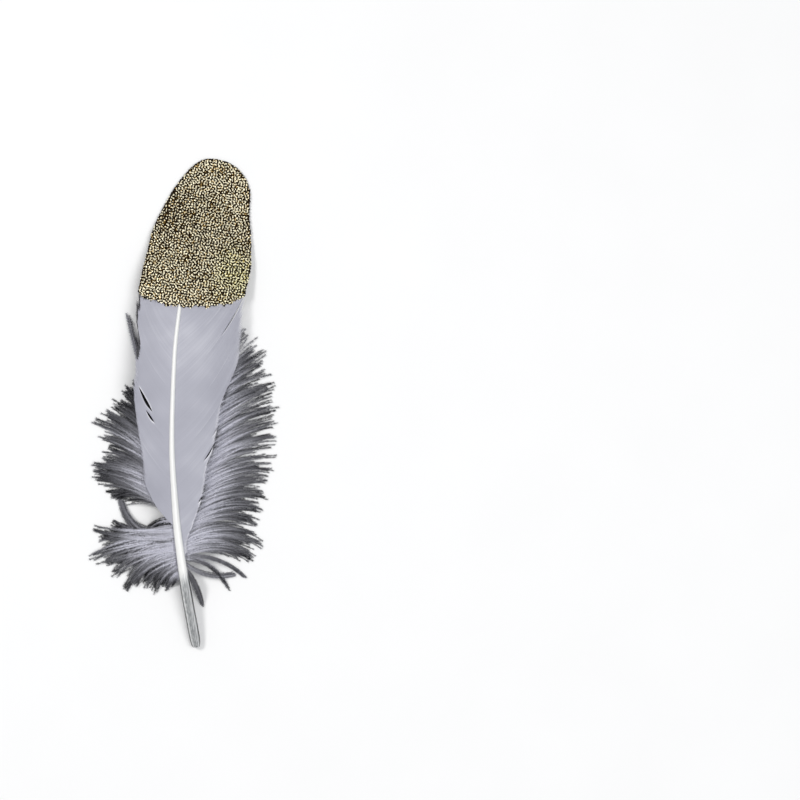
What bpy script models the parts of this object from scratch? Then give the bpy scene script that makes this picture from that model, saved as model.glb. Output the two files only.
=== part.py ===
"""A goose quill feather that lies on its underside, its tip dipped in gold glitter.

The shaft runs along +Y, from the bare calamus to the dipped tip, and arches over the surface. A web of
barbs stands on each side of it, loose downy locks grow from its root end, and the glitter coat binds the
last quarter of the barbs into one stiff blade that lies flat. Metres, +Z up.

Places are stated in the feather's own terms: y is the station along it from the calamus's end, and w is
the distance across from the shaft's middle line, to the left (side -1) or to the right (side +1).
"""

import math
import random

import bmesh
import bpy
from mathutils import Vector

MM = 0.001

# Driving dimensions
LENGTH = 165.2 * MM
CENTRE_X = -4.171 * MM  # middle of the feather's outline, from the calamus's end
CENTRE_Y = 82.42 * MM
PIECE_GAP = 0.35 * MM  # between neighbouring pieces
LEFT, RIGHT = -1, 1

# The shaft by station in mm: sideways bend, height of its middle line, radius
SHAFT_BEND = [(0, 0), (27, -4.6), (45, -6.7), (70, -8.0), (97, -7.2), (118, -5.0), (142, -0.6), (166, 4.4)]
SHAFT_HEIGHT = [(0, 1.25), (14, 3.9), (40, 8.0), (70, 10.6), (95, 10.5), (120, 7.9), (140, 3.8), (150, 1.3),
                (158, -0.8), (166, -2.0)]
SHAFT_RADIUS = [(0, 1.1), (1.2, 1.55), (4, 1.8), (16, 1.85), (28, 1.5), (42, 1.25), (56, 1.0), (76, 0.8),
                (103, 0.65), (117, 0.6)]
CALAMUS_END_ROUND = 1.2 * MM  # length of the calamus's rounded end
SHAFT_STATIONS = 28
SHAFT_STATION_SPREAD = 1.15  # above 1 the stations crowd towards the calamus
SHAFT_ROUNDNESS = 3
UMBILICUS_RADIUS = 0.45 * MM  # the pit in the calamus's end
UMBILICUS_TAPER = 0.5
UMBILICUS_DEPTH = 3.0 * MM

# The webs: distance of the edge by station in mm, and how far each droops below the shaft at its full width
WEB_EDGE = {
    LEFT: [(41.5, 1.6), (44, 4.0), (49, 7.3), (56, 9.7), (64, 10.3), (77, 12.2), (88, 13.4), (104, 13.0),
           (114, 14.9), (125, 14.7), (140, 14.1), (166, 14.1)],
    RIGHT: [(29, 1.5), (36, 3.0), (41, 5.4), (52, 9.7), (63, 12.2), (67, 13.9), (83, 16.7), (90, 19.3),
            (97, 21.5), (105, 22.2), (118, 21.3), (127, 21.7), (136, 20.2), (150, 17.0), (166, 16.0)],
}
WEB_FULL = {LEFT: 14.9 * MM, RIGHT: 22.2 * MM}
WEB_DROOP = {LEFT: 3.0 * MM, RIGHT: 4.6 * MM}
WEB_EASE = 0.8 * MM  # how gradually a web settles onto the surface
WEB_THICK = 0.6 * MM
WEB_FIRST_BARB = {LEFT: 40.0 * MM, RIGHT: 30.0 * MM}
BARB_LEAN = {LEFT: 1.1, RIGHT: 0.9}  # how far a barb runs towards the tip for each step outwards
BARB_SWEEP = {LEFT: 0.0025, RIGHT: 0.0012}  # and how that grows, times the cube of the distance out in mm
BARB_ROWS = {LEFT: 25, RIGHT: 27}
BARB_STEPS = 8
BARB_LEAST = 0.3 * MM  # length of the shortest barb, where a web runs out
BARB_UNEVEN = 0.35 * MM  # how much shorter some barbs are than the edge
LAST_BARB_BACK = 1.2 * MM  # from the dip line to the last barb's root
# A split: the barb's station at the shaft, and the stretch of it, out from the shaft, that stands apart
SPLITS = {LEFT: [(68.9, 6.6, 11.0)], RIGHT: [(87.8, 14.6, 23.0), (52.1, 11.2, 15.0)]}
SPLIT_WIDTH = 0.9 * MM
SPLIT_CLEAR = 1.1 * MM  # no other row of barbs is rooted this near to a split

# The dipped tip
# Station that the outline's rounding starts at, and its power
TIP_ROUND = {LEFT: (140 * MM, 1.2), RIGHT: (150 * MM, 2.1)}
DIP_LINE = 115.2 * MM
DIP_LINE_RISE = {LEFT: (4.5 * MM, 1.6), RIGHT: (3.8 * MM, 4)}  # at the web's edge, and the curve's power
COAT_THICK = 1.1 * MM
COAT_END_BACK = 0.15 * MM  # its last row stands this far inside the full length
COAT_REST_HEIGHT = 0.3 * MM  # of the coat's middle, where it lies on the surface
COAT_RIDGE = 0.5 * MM  # over the buried shaft
COAT_RIDGE_WIDTH = 1.0 * MM
COAT_COLUMNS = 18
COAT_ROWS = 12
SURFACE_CUTTER = (0.2, 0.2, 20 * MM)

# Downy locks, from the tip's side to the calamus's. Each row is the root's station in mm, the heading of the
# lock's chord in degrees from the tip's direction outwards, the chord in mm, and the turn from root to end
DOWN_LOCKS = {
    LEFT: [
        (63, 31, 30, 30), (61, 42, 30, 35), (59, 46, 31, 38), (57, 53, 33, 40), (54.5, 55, 28, 40),
        (52.5, 63, 26.5, 40), (51, 64, 25, 42), (49, 66, 30.5, 42), (48, 67, 30, 42),
        (46.5, 68, 29.5, 42), (44.5, 72, 24, 42), (43.5, 73, 22, 40),
        (40.5, 84, 22, -50), (39.5, 89, 28.5, -20), (38.7, 92, 25, -5), (38, 95.5, 26.3, 10),
        (37.2, 100, 25, 18), (36.5, 104, 30.2, 25), (35, 107, 26, 32), (34, 114, 24.4, 40),
        (32.5, 126, 23, 60), (31, 125, 18.3, 66), (29.5, 131, 14.6, 66), (28.5, 136, 13, 66),
        (27, 149, 8.5, 50), (25.8, 152, 5.2, 30),
    ],
    RIGHT: [
        (72.5, 38, 43.8, 30), (70, 42, 43, 36), (67.5, 44, 43, 40), (65, 46.5, 43, 45),
        (62, 49.5, 43, 50), (59, 52, 43, 54), (56, 54, 42.5, 58), (53, 55.5, 41.5, 60),
        (50.5, 57.5, 39.5, 63), (48, 60, 37, 66), (45.5, 62.5, 35, 68), (43, 66, 33.5, 70),
        (41, 70.5, 31, 71), (39.3, 76, 28.5, 72), (37.5, 79, 26, 74), (35.5, 84, 25.6, 74),
        (33, 87.5, 27, 74), (31.5, 93.5, 23.4, 70),
    ],
}
# Narrow locks that stray from the rest: side, and a row as above
STRAY_LOCKS = [
    (LEFT, (76, 22, 40, -27)), (LEFT, (38.5, 59, 22.5, -120)), (RIGHT, (31, 109, 22, 56)),
    (RIGHT, (30.5, 125, 18, 66)), (RIGHT, (28.5, 103, 17.5, -60)), (RIGHT, (26, 156, 13, 20)),
]
STRAY_WIDTH = 0.5  # as a share of another lock's
LOCK_WIDTH = 1.9 * MM  # half the width of a lock's broadest part
LOCK_THICK = 0.42  # half its thickness, as a share of that
LOCK_SLENDER_UNDER = 20.0  # a lock shorter than this is narrower in proportion
LOCK_ROOT_PHASE = 0.16  # its width follows a sine from this share of a half turn to the end of it
LOCK_FULLNESS = 0.5  # power of that sine
LOCK_TIP_WIDTH = 0.3  # of the broadest part
LOCK_POINTS = 7
LOCK_CORNERS = 6
LOCK_HEADING_SPREAD = 1.5
LOCK_LENGTH_RANGE = (0.93, 1.02)
LOCK_WIDTH_RANGE = (0.85, 1.0)
LOCK_TIP_HEIGHT = 0.35 * MM
LOCK_UNDER_WEB = 0.6 * MM
LOCK_STAGGER = 0.5 * MM  # every other lock lies this much lower at its middle
ROOT_BAND_RADIUS = 0.6 * MM  # the band beside the shaft that a side's locks grow from
ROOT_BAND_SINK = 1.5 * MM  # below the shaft's middle line
ROOT_BAND_START = 24.5
ROOT_BAND_END = {LEFT: 78.0, RIGHT: 73.0}
ROOT_BAND_STATIONS = 10
DOWN_SEED = {LEFT: 8, RIGHT: 1}
WEB_SEED = 1

COLOURS = {  # colour, roughness, metallic
    "shaft_horn": ((0.82, 0.83, 0.80, 1), 0.35, 0.0),
    "vane_barbs": ((0.46, 0.47, 0.54, 1), 0.7, 0.0),
    "down_barbs": ((0.36, 0.37, 0.42, 1), 0.9, 0.0),
    "gold_glitter": ((0.62, 0.47, 0.20, 1), 0.3, 1.0),
}


def smooth_through(knots):
    """The smooth function through these (place, value) knots in millimetres, with no overshoot."""
    xs = [x * MM for x, _ in knots]
    ys = [y * MM for _, y in knots]
    steps = [(ys[i + 1] - ys[i]) / (xs[i + 1] - xs[i]) for i in range(len(xs) - 1)]
    slopes = [steps[0]]
    for before, after in zip(steps, steps[1:]):
        slopes.append(2 * before * after / (before + after) if before * after > 0 else 0.0)
    slopes.append(steps[-1])

    def value(x):
        x = min(max(x, xs[0]), xs[-1])
        i = max(k for k in range(len(xs) - 1) if xs[k] <= x)
        h = xs[i + 1] - xs[i]
        u = (x - xs[i]) / h
        return (
            (1 + 2 * u) * (1 - u) ** 2 * ys[i]
            + u * (1 - u) ** 2 * h * slopes[i]
            + u * u * (3 - 2 * u) * ys[i + 1]
            + u * u * (u - 1) * h * slopes[i + 1]
        )

    return value


shaft_bend = smooth_through(SHAFT_BEND)
shaft_height = smooth_through(SHAFT_HEIGHT)
shaft_radius = smooth_through(SHAFT_RADIUS)
web_edge = {side: smooth_through(knots) for side, knots in WEB_EDGE.items()}


def half_width(y, side):
    """From the shaft's middle line to the web's edge, closing in a round tip."""
    start, power = TIP_ROUND[side]
    past = max(0.0, (y - start) / (LENGTH - start))
    return web_edge[side](y) * math.sqrt(max(0.0, 1 - past**power))


def dip_line(w, side):
    rise, power = DIP_LINE_RISE[side]
    return DIP_LINE + rise * (w / WEB_FULL[side]) ** power


def web_height(y, w, side):
    """Height of a web's middle surface. It droops outwards, and flattens where it meets the surface below."""
    free = shaft_height(y) - WEB_DROOP[side] * (w / WEB_FULL[side]) ** 2 - COAT_REST_HEIGHT
    return COAT_REST_HEIGHT + 0.5 * (free + math.sqrt(free * free + WEB_EASE * WEB_EASE))


def web_point(y, w, side, lift=0.0):
    return Vector((shaft_bend(y) + side * w, y, web_height(y, w, side) + lift))


def barb_station(root, w, side):
    """Where along the feather a barb rooted at this station is, once it is w from the shaft."""
    return root + BARB_LEAN[side] * w + BARB_SWEEP[side] * (w / MM) ** 3 * MM


def barb_end(root, side):
    """How far from the shaft a barb meets the web's edge or the dip line."""
    low, high = 0.0, WEB_FULL[side] * 1.2
    for _ in range(40):
        w = (low + high) / 2
        y = barb_station(root, w, side)
        inside = y < dip_line(w, side) - PIECE_GAP and w < half_width(y, side)
        low, high = (w, high) if inside else (low, w)
    return low


def new_object(name, mesh, material=None, collection=None):
    obj = bpy.data.objects.new(name, mesh)
    (collection or bpy.data.collections["goose_feather"]).objects.link(obj)
    if material:
        mesh.materials.append(bpy.data.materials[material])
    return obj


def clear_scene():
    for obj in list(bpy.data.objects):
        bpy.data.objects.remove(obj)
    for name in ("goose_feather", "cutters"):
        collection = bpy.data.collections.new(name)
        bpy.context.scene.collection.children.link(collection)


def make_materials():
    for name, (colour, roughness, metallic) in COLOURS.items():
        material = bpy.data.materials.new(name)
        material.use_nodes = True
        shader = material.node_tree.nodes["Principled BSDF"]
        shader.inputs["Base Color"].default_value = colour
        shader.inputs["Roughness"].default_value = roughness
        shader.inputs["Metallic"].default_value = metallic


def as_mesh_object(curve_object, name, material=None, collection=None):
    """The curve's evaluated shape as a mesh object, with its caps welded on. The curve is removed."""
    graph = bpy.context.evaluated_depsgraph_get()
    mesh = bpy.data.meshes.new_from_object(curve_object.evaluated_get(graph))
    bpy.data.objects.remove(curve_object)
    shape = bmesh.new()
    shape.from_mesh(mesh)
    bmesh.ops.remove_doubles(shape, verts=shape.verts, dist=0.002 * MM)
    bmesh.ops.recalc_face_normals(shape, faces=shape.faces)
    shape.to_mesh(mesh)
    shape.free()
    mesh.materials.clear()
    return new_object(name, mesh, material, collection)


def tapered_tube(name, points, radii, resolution=1, section=None):
    """A tube through the points, with a radius at each, round unless a section curve gives its outline."""
    curve = bpy.data.curves.new(name, "CURVE")
    curve.dimensions = "3D"
    curve.twist_mode = "Z_UP"
    curve.use_fill_caps = True
    if section:
        curve.bevel_mode = "OBJECT"
        curve.bevel_object = section
    else:
        curve.bevel_depth = 1.0
        curve.bevel_resolution = resolution
    line = curve.splines.new("POLY")
    line.points.add(len(points) - 1)
    for spot, place, radius in zip(line.points, points, radii):
        spot.co = (*place, 1)
        spot.radius = radius
    obj = bpy.data.objects.new(name, curve)
    bpy.data.collections["cutters"].objects.link(obj)
    bpy.context.view_layer.update()
    return obj


def boolean(target, cutter, operation):
    cutter.hide_render = True
    cutter.display_type = "WIRE"
    modifier = target.modifiers.new(operation.lower(), "BOOLEAN")
    modifier.operation = operation
    modifier.solver = "EXACT"
    modifier.object = cutter


def shade(obj, angle=40):
    obj.data.shade_smooth()
    obj.data.set_sharp_from_angle(angle=math.radians(angle))


def make_shaft():
    """Calamus and rachis, one tapered horn, with the small pit that every calamus ends in."""
    free = DIP_LINE - PIECE_GAP - CALAMUS_END_ROUND
    spread = [(i / SHAFT_STATIONS) ** SHAFT_STATION_SPREAD for i in range(SHAFT_STATIONS + 1)]
    stations = [0.0] + [CALAMUS_END_ROUND + free * share for share in spread]
    points = [Vector((shaft_bend(y), y, shaft_height(y))) for y in stations]
    tube = tapered_tube("shaft_curve", points, [shaft_radius(y) for y in stations], SHAFT_ROUNDNESS)
    shaft = as_mesh_object(tube, "shaft", "shaft_horn")
    inwards = (points[2] - points[0]).normalized()
    bpy.ops.mesh.primitive_cone_add(
        vertices=8, radius1=UMBILICUS_RADIUS, radius2=UMBILICUS_RADIUS * UMBILICUS_TAPER,
        depth=2 * UMBILICUS_DEPTH, location=points[0], rotation=inwards.to_track_quat("Z", "Y").to_euler())
    pit = bpy.context.object
    pit.name = "umbilicus_cutter"
    boolean(shaft, pit, "DIFFERENCE")
    shade(shaft)


def barb_roots(side):
    """Barbs' stations at the shaft for the web's rows, with a close pair at each split."""
    first, last = WEB_FIRST_BARB[side], DIP_LINE - PIECE_GAP - LAST_BARB_BACK
    roots = [first + (last - first) * i / BARB_ROWS[side] for i in range(BARB_ROWS[side] + 1)]
    for split, _, _ in SPLITS[side]:
        roots = [y for y in roots if abs(y - split * MM) > SPLIT_CLEAR]
        roots += [split * MM - SPLIT_WIDTH / 2, split * MM + SPLIT_WIDTH / 2]
    return sorted(roots)


def in_split(root_before, root_after, w, side):
    return any(
        root_before < at * MM < root_after and start * MM <= w <= stop * MM
        for at, start, stop in SPLITS[side]
    )


def make_web(name, side):
    """One vane: a grid with a row for every few barbs, given its thickness by Solidify."""
    chance = random.Random(WEB_SEED)
    roots = barb_roots(side)
    shape = bmesh.new()
    bmesh.ops.create_grid(shape, x_segments=BARB_STEPS, y_segments=len(roots) - 1, size=1)
    ends = [barb_end(y, side) - chance.uniform(0, BARB_UNEVEN) for y in roots]
    reach = {}
    for corner in shape.verts:
        step = round((corner.co.x + 1) / 2 * BARB_STEPS)
        row = round((corner.co.y + 1) / 2 * (len(roots) - 1))
        start = shaft_radius(roots[row]) + PIECE_GAP
        w = start + max(ends[row] - start, BARB_LEAST) * step / BARB_STEPS
        corner.co = web_point(barb_station(roots[row], w, side), w, side)
        reach[corner] = (row, w)
    gone = []
    for face in shape.faces:
        rows = [reach[corner][0] for corner in face.verts]
        middle = sum(reach[corner][1] for corner in face.verts) / len(rows)
        if in_split(roots[min(rows)], roots[max(rows)], middle, side):
            gone.append(face)
    bmesh.ops.delete(shape, geom=gone, context="FACES")
    bmesh.ops.recalc_face_normals(shape, faces=shape.faces)
    mesh = bpy.data.meshes.new(name)
    shape.to_mesh(mesh)
    shape.free()
    web = new_object(name, mesh, "vane_barbs")
    thickness = web.modifiers.new("web_thickness", "SOLIDIFY")
    thickness.thickness = WEB_THICK
    thickness.offset = 0
    shade(web)


def coat_place(across, along, side_widths):
    """A point of the coat's middle surface, by its share across, -1 to 1, and its share along, 0 to 1."""
    side = LEFT if across < 0 else RIGHT
    start = dip_line(abs(across) * side_widths[side], side)
    closing = math.sin(along * math.pi / 2)  # rows crowd together where the outline turns round
    y = start + (LENGTH - COAT_END_BACK - start) * closing
    w = abs(across) * half_width(y, side)
    ridge = COAT_RIDGE * math.exp(-((w / COAT_RIDGE_WIDTH) ** 2)) * (1 - along)
    return web_point(y, w, side, ridge)


def make_coat():
    """The dipped tip, flat below where it lies on the surface."""
    shape = bmesh.new()
    bmesh.ops.create_grid(shape, x_segments=COAT_COLUMNS, y_segments=COAT_ROWS, size=1)
    widths = {side: half_width(dip_line(WEB_FULL[side], side), side) for side in (LEFT, RIGHT)}
    middle = round(COAT_COLUMNS * WEB_FULL[LEFT] / (WEB_FULL[LEFT] + WEB_FULL[RIGHT]))
    for corner in shape.verts:
        column = round((corner.co.x + 1) / 2 * COAT_COLUMNS)
        row = round((corner.co.y + 1) / 2 * COAT_ROWS)
        if column <= middle:
            across = (column - middle) / middle
        else:
            across = (column - middle) / (COAT_COLUMNS - middle)
        corner.co = coat_place(across, row / COAT_ROWS, widths)
    bmesh.ops.recalc_face_normals(shape, faces=shape.faces)
    mesh = bpy.data.meshes.new("glitter_tip")
    shape.to_mesh(mesh)
    shape.free()
    coat = new_object("glitter_tip", mesh, "gold_glitter")
    thickness = coat.modifiers.new("coat_thickness", "SOLIDIFY")
    thickness.thickness = COAT_THICK
    thickness.offset = 0
    bpy.ops.mesh.primitive_cube_add(size=1, location=(0, LENGTH, -SURFACE_CUTTER[2] / 2))
    below = bpy.context.object
    below.name = "surface_cutter"
    below.scale = SURFACE_CUTTER
    bpy.ops.object.transform_apply(location=False, rotation=False, scale=True)
    boolean(coat, below, "DIFFERENCE")
    shade(coat)


def room_under_web(place, side):
    """The greatest height that leaves a lock's top clear of the web over this place."""
    w = (place.x - shaft_bend(place.y)) * side
    covered = w < half_width(place.y, side) + LOCK_WIDTH and place.y > barb_station(
        WEB_FIRST_BARB[side], max(w, 0.0), side) - LOCK_WIDTH
    return web_height(place.y, w, side) - WEB_THICK / 2 - LOCK_UNDER_WEB if covered else math.inf


def lock_line(side, row, radii, layer):
    """A lock's middle line, from the root band down to the surface below. Layer 1 is the lower one."""
    root_y, heading, chord, turn = row
    root_y *= MM
    start = shaft_radius(root_y) + PIECE_GAP + ROOT_BAND_RADIUS
    root = Vector((shaft_bend(root_y) + side * start, root_y, 0))
    top = shaft_height(root_y) - ROOT_BAND_SINK
    points = []
    for i, radius in enumerate(radii):
        u = i / (len(radii) - 1)
        angle = math.radians(heading + turn * (u - 1) / 2)
        place = root + Vector((side * math.sin(angle), math.cos(angle), 0)) * (chord * MM * u)
        fall = u * u * (3 - 2 * u)
        free = top + (LOCK_TIP_HEIGHT - top) * fall - LOCK_STAGGER * layer * math.sin(math.pi * u)
        place.z = min(free, room_under_web(place, side) - LOCK_THICK * radius) if i else top
        points.append(place)
    return points


def lock_radii(width):
    """A lock's half width at each of its points: broad near the root and fine at the tip."""
    shares = [LOCK_ROOT_PHASE + (1 - LOCK_ROOT_PHASE) * i / (LOCK_POINTS - 1) for i in range(LOCK_POINTS)]
    return [width * max(LOCK_TIP_WIDTH, math.sin(math.pi * share) ** LOCK_FULLNESS) for share in shares]


def lock_section():
    """The flattened outline that every lock is drawn with."""
    section = bpy.data.curves.new("lock_section", "CURVE")
    outline = section.splines.new("POLY")
    outline.points.add(LOCK_CORNERS - 1)
    outline.use_cyclic_u = True
    for i, corner in enumerate(outline.points):
        angle = 2 * math.pi * i / LOCK_CORNERS
        corner.co = (math.cos(angle), LOCK_THICK * math.sin(angle), 0, 1)
    obj = bpy.data.objects.new("lock_section", section)
    bpy.data.collections["cutters"].objects.link(obj)
    obj.hide_render = True
    return obj


def make_root_band(name, side):
    """The band beside the shaft that one side's locks grow from."""
    step = (ROOT_BAND_END[side] - ROOT_BAND_START) * MM / (ROOT_BAND_STATIONS - 1)
    stations = [ROOT_BAND_START * MM + step * i for i in range(ROOT_BAND_STATIONS)]
    points = [Vector((shaft_bend(y) + side * (shaft_radius(y) + PIECE_GAP + ROOT_BAND_RADIUS), y,
                      shaft_height(y) - ROOT_BAND_SINK)) for y in stations]
    tube = tapered_tube(name + "_band", points, [ROOT_BAND_RADIUS] * len(points))
    return as_mesh_object(tube, name, "down_barbs")


def make_down(name, side):
    """One side's downy locks, fused with the band beside the shaft that they grow from."""
    chance = random.Random(DOWN_SEED[side])
    section = lock_section()
    rows = [(row, STRAY_WIDTH) for row_side, row in STRAY_LOCKS if row_side == side]
    rows += [(row, 1.0) for row in DOWN_LOCKS[side]]
    down = make_root_band(name, side)
    locks = bpy.data.collections.new(name + "_locks")
    bpy.data.collections["cutters"].children.link(locks)
    for number, ((root_y, heading, chord, turn), breadth) in enumerate(rows):
        heading += chance.uniform(-LOCK_HEADING_SPREAD, LOCK_HEADING_SPREAD)
        row = (root_y, heading, chord * chance.uniform(*LOCK_LENGTH_RANGE), turn)
        width = breadth * LOCK_WIDTH * min(1.0, chord / LOCK_SLENDER_UNDER)
        radii = lock_radii(width * chance.uniform(*LOCK_WIDTH_RANGE))
        points = lock_line(side, row, radii, number % 2)
        tube = tapered_tube(f"{name}_lock", points, radii, section=section)
        lock = as_mesh_object(tube, f"{name}_lock_{number:02d}", collection=locks)
        lock.hide_render = True
        lock.display_type = "WIRE"
    fuse = down.modifiers.new("fused_locks", "BOOLEAN")
    fuse.operation = "UNION"
    fuse.solver = "EXACT"
    fuse.operand_type = "COLLECTION"
    fuse.collection = locks
    shade(down)


def stand_in_frame():
    """Moves the feather so that the middle of its outline is over the origin."""
    origin = bpy.data.objects.new("feather_place", None)
    bpy.data.collections["goose_feather"].objects.link(origin)
    origin.location = (-CENTRE_X, -CENTRE_Y, 0)
    for obj in bpy.data.objects:
        if obj is not origin:
            obj.parent = origin


def main():
    clear_scene()
    make_materials()
    make_shaft()
    make_web("left_vane", LEFT)
    make_web("right_vane", RIGHT)
    make_coat()
    make_down("left_down", LEFT)
    make_down("right_down", RIGHT)
    stand_in_frame()


main()
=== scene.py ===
"""One goose quill feather, its tip dipped in gold glitter, lying on a pale surface and seen from above.

The solids of the part carry the shape. Each is dressed here with what a feather is really made of: a vane
is a few hundred barbs side by side, the down is loose barbs with their barbules, the glitter is thousands
of tilted flakes, and the shaft is smooth horn.

Places are stated as in the part: y is the station along the feather from the calamus's end, and w is the
distance across from the shaft's middle line, on the left (side -1) or the right (side +1).
"""

import math
from collections import namedtuple

import bpy
import numpy as np
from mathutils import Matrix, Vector


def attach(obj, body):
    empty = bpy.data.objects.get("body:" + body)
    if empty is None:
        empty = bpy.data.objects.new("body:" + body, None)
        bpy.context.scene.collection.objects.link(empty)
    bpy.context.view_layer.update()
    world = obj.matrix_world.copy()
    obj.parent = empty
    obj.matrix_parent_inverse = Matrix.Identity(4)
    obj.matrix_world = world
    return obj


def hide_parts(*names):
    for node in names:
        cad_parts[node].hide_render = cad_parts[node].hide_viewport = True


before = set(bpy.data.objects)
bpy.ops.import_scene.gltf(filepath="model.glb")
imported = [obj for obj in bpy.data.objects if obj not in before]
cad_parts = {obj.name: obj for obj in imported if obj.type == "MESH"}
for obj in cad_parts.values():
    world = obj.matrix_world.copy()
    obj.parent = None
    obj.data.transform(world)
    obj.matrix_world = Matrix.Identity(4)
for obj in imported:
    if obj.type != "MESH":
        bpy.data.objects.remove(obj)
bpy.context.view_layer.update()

MM = 0.001
LEFT, RIGHT = -1, 1
CENTRE = np.array([-4.171, 82.42, 0.0]) * MM  # of the feather's outline, from the calamus's end

# The part's own shape. Its tables are (station, value) pairs in millimetres
LENGTH = 165.2 * MM
SHAFT_BEND = [(0, 0), (27, -4.6), (45, -6.7), (70, -8.0), (97, -7.2), (118, -5.0), (142, -0.6), (166, 4.4)]
SHAFT_HEIGHT = [(0, 1.25), (14, 3.9), (40, 8.0), (70, 10.6), (95, 10.5), (120, 7.9), (140, 3.8), (150, 1.3),
                (158, -0.8), (166, -2.0)]
SHAFT_RADIUS = [(0, 1.1), (1.2, 1.55), (4, 1.8), (16, 1.85), (28, 1.5), (42, 1.25), (56, 1.0), (76, 0.8),
                (103, 0.65), (117, 0.6)]
WEB_EDGE = {
    LEFT: [(41.5, 1.6), (44, 4.0), (49, 7.3), (56, 9.7), (64, 10.3), (77, 12.2), (88, 13.4), (104, 13.0),
           (114, 14.9), (125, 14.7), (140, 14.1), (166, 14.1)],
    RIGHT: [(29, 1.5), (36, 3.0), (41, 5.4), (52, 9.7), (63, 12.2), (67, 13.9), (83, 16.7), (90, 19.3),
            (97, 21.5), (105, 22.2), (118, 21.3), (127, 21.7), (136, 20.2), (150, 17.0), (166, 16.0)],
}
WEB_FULL = {LEFT: 14.9 * MM, RIGHT: 22.2 * MM}  # greatest width
WEB_DROOP = {LEFT: 3.0 * MM, RIGHT: 4.6 * MM}
WEB_EASE = 0.8 * MM  # over which the web settles onto the surface
WEB_FIRST_BARB = {LEFT: 40.0 * MM, RIGHT: 30.0 * MM}
BARB_LEAN = {LEFT: 1.1, RIGHT: 0.9}
BARB_SWEEP = {LEFT: 0.0025, RIGHT: 0.0012}
TIP_ROUND = {LEFT: (140 * MM, 1.2), RIGHT: (150 * MM, 2.1)}  # where the web starts to close, and how bluntly
DIP_LINE = 115.2 * MM
DIP_LINE_RISE = {LEFT: (4.5 * MM, 1.6), RIGHT: (3.8 * MM, 4)}
REST_HEIGHT = 0.3 * MM
# Rows of the down's locks: station of the root, heading of the tip from the root in degrees out from straight ahead,
# millimetres from root to tip, and how many degrees the lock turns outwards on the way
DOWN_LOCKS = {
    LEFT: [
        (63, 31, 30, 30), (61, 42, 30, 35), (59, 46, 31, 38), (57, 53, 33, 40), (54.5, 55, 28, 40),
        (52.5, 63, 26.5, 40), (51, 64, 25, 42), (49, 66, 30.5, 42), (48, 67, 30, 42),
        (46.5, 68, 29.5, 42), (44.8, 72, 24, 66), (43.8, 73, 22, 90),
        (40.5, 84, 22, -50), (39.5, 89, 28.5, -20), (38.7, 92, 25, -5), (38, 95.5, 26.3, 10),
        (37.2, 100, 25, 18), (36.5, 104, 30.2, 25), (35, 107, 26, 32), (34, 114, 24.4, 40),
        (32.5, 126, 23, 60), (31, 125, 18.3, 66), (29.5, 131, 14.6, 66), (28.5, 136, 13, 66),
        (27, 149, 8.5, 50), (25.8, 152, 5.2, 30),
    ],
    RIGHT: [
        (72.5, 38, 43.8, 30), (70, 42, 43, 36), (67.5, 44, 43, 40), (65, 46.5, 43, 45),
        (62, 49.5, 43, 50), (59, 52, 43, 54), (56, 54, 42.5, 58), (53, 55.5, 41.5, 60),
        (50.5, 57.5, 39.5, 63), (48, 60, 37, 66), (45.5, 62.5, 35, 68), (43, 66, 33.5, 70),
        (41, 70.5, 31, 71), (39.3, 76, 28.5, 72), (37.5, 79, 26, 74), (35.5, 84, 25.6, 74),
        (33, 87.5, 27, 74), (31.5, 93.5, 23.4, 70),
    ],
}
# Narrow locks that stray from the rest: side, and a row as above
STRAY_LOCKS = [
    (LEFT, (76, 22, 40, -27)), (LEFT, (38.5, 59, 22.5, -120)), (RIGHT, (31, 109, 22, 56)),
    (RIGHT, (30.5, 125, 18, 66)), (RIGHT, (28.5, 103, 17.5, -60)), (RIGHT, (26, 156, 13, 20)),
]
PAINTED_LIGHT_BESIDE_WEB = {LEFT: -0.1, RIGHT: 0.3}  # painted light beside the web's edge, against the web's shadow, on the right; a little painted shade on the left
LOCK_WIDTH = 1.9 * MM
LOCK_THICK = 0.42  # of its width
LOCK_FILL = 0.9  # how much of a lock's width and thickness its barbs take up
DOWN_REACH = 32.0 * MM  # to either side of the feather's centre
CLOSE_UNDER_WEB = 16.0 * MM  # a barb with this loft stays as high as its root
# A side's locks make a fan behind and one in front, from this lock on
LAST_OF_FAN = {LEFT: 12, RIGHT: 18}
# Of each fan: the share of a lock's width that is left at its tip, length of the dark end (partly painted shade),
# least and greatest reach of the barbs between locks, how many of them, how differently the locks turn, and the tone
# at the root
FANS = {
    LEFT: [{"tip": 0.55, "dark": 17.5, "reach": (0.72, 0.93), "fill": 15, "veer": 2.5, "tone": 0.97},
           {"tip": 0.25, "dark": 14.5, "reach": (0.5, 0.82), "fill": 8, "veer": 5, "tone": 0.93}],
    RIGHT: [{"tip": 0.18, "dark": 17.0, "reach": (0.6, 0.93), "fill": 12, "veer": 4, "tone": 0.97}],
}
# The left locks beside the gap between the fans keep to the side away from it
KEPT_SPREAD = {9: (-0.5, 1.0), 10: (0.0, 1.0), 11: (0.2, 1.0), 12: (-1.0, 0.0), 13: (-1.0, 0.2)}
# How much darker the left locks above that gap are at their roots
SHADED_ROOTS = {8: 0.1, 9: 0.15, 10: 0.2, 11: 0.2}

# The barbs of a vane
BARB_PITCH = 0.3 * MM
BARB_POINTS = 24
BARB_RIDGE = 0.03 * MM
BARB_TIP = {LEFT: 0.6 * MM, RIGHT: 1.0 * MM}  # length over which a barb narrows to its point
EDGE_HIGHLIGHT = {LEFT: 0.1, RIGHT: 0.27}  # painted highlight: how much paler a barb is towards its point
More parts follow.
